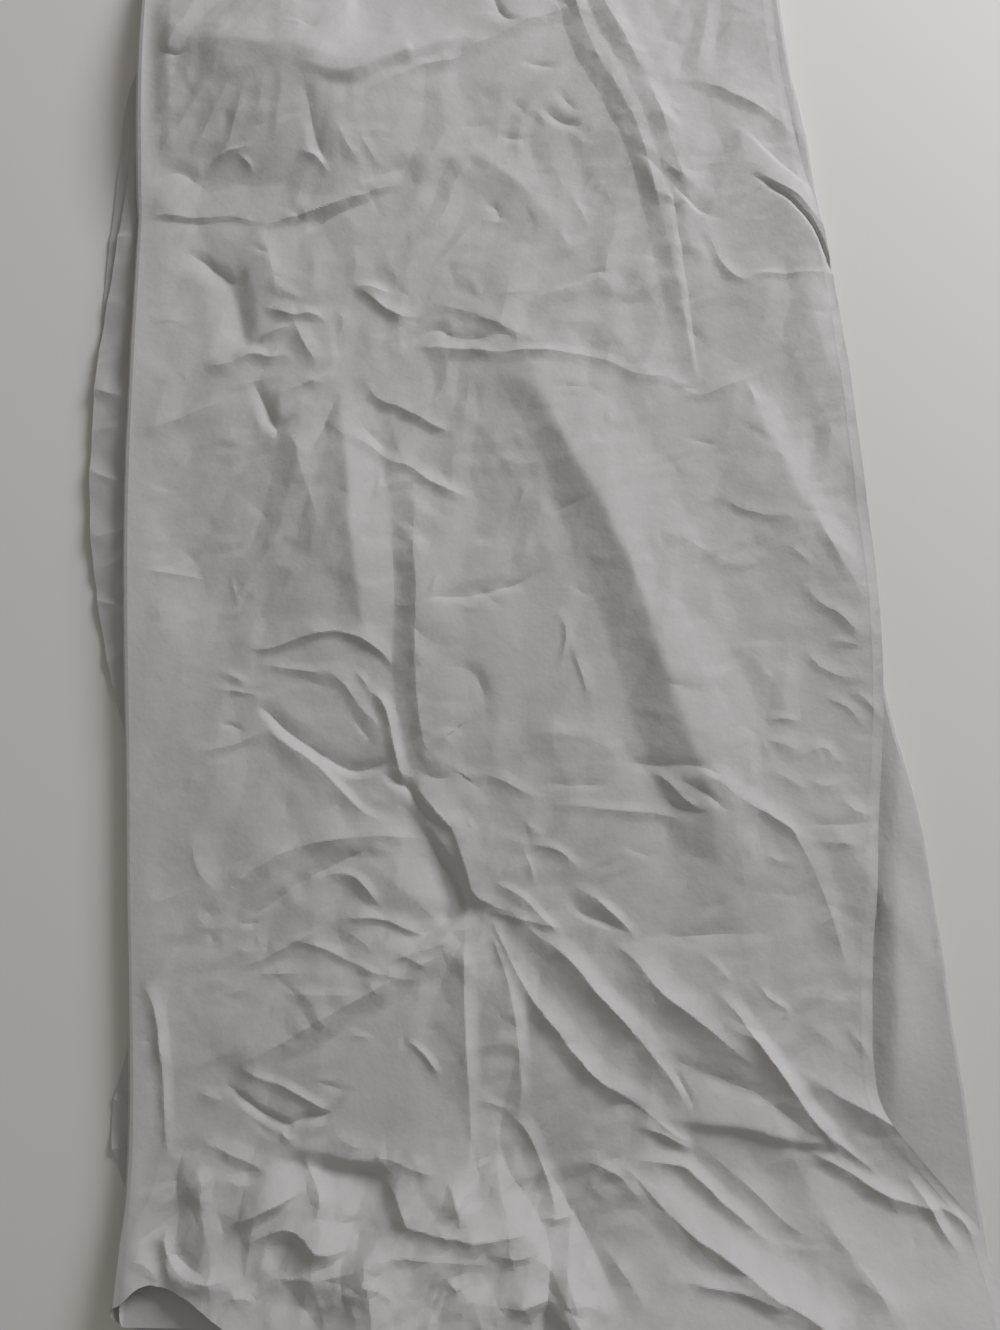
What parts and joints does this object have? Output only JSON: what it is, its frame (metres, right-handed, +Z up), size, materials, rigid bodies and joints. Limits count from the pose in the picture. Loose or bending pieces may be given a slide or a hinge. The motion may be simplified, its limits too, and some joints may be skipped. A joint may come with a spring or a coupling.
{
  "type": "crumpled folded bed sheet",
  "caption": "Flat cotton bed sheet folded into a long layered pad, crumpled all over, with a pleat, slanting folds and a gathered near end.",
  "frame": {"origin": "centre of the folded sheet's footprint, on the surface it lies on", "axes": "+Z up; +Y along the pad, from the gathered open end to the looped far end; +X across it, towards the top panel's free edge"},
  "size_m": [0.6862, 1.2821, 0.0616],
  "materials": {
    "washed_cotton": "matt washed cotton percale, light warm grey, with fine creases"
  },
  "bodies": {
    "root": {"sheet": "washed_cotton"}
  },
  "joints": []
}
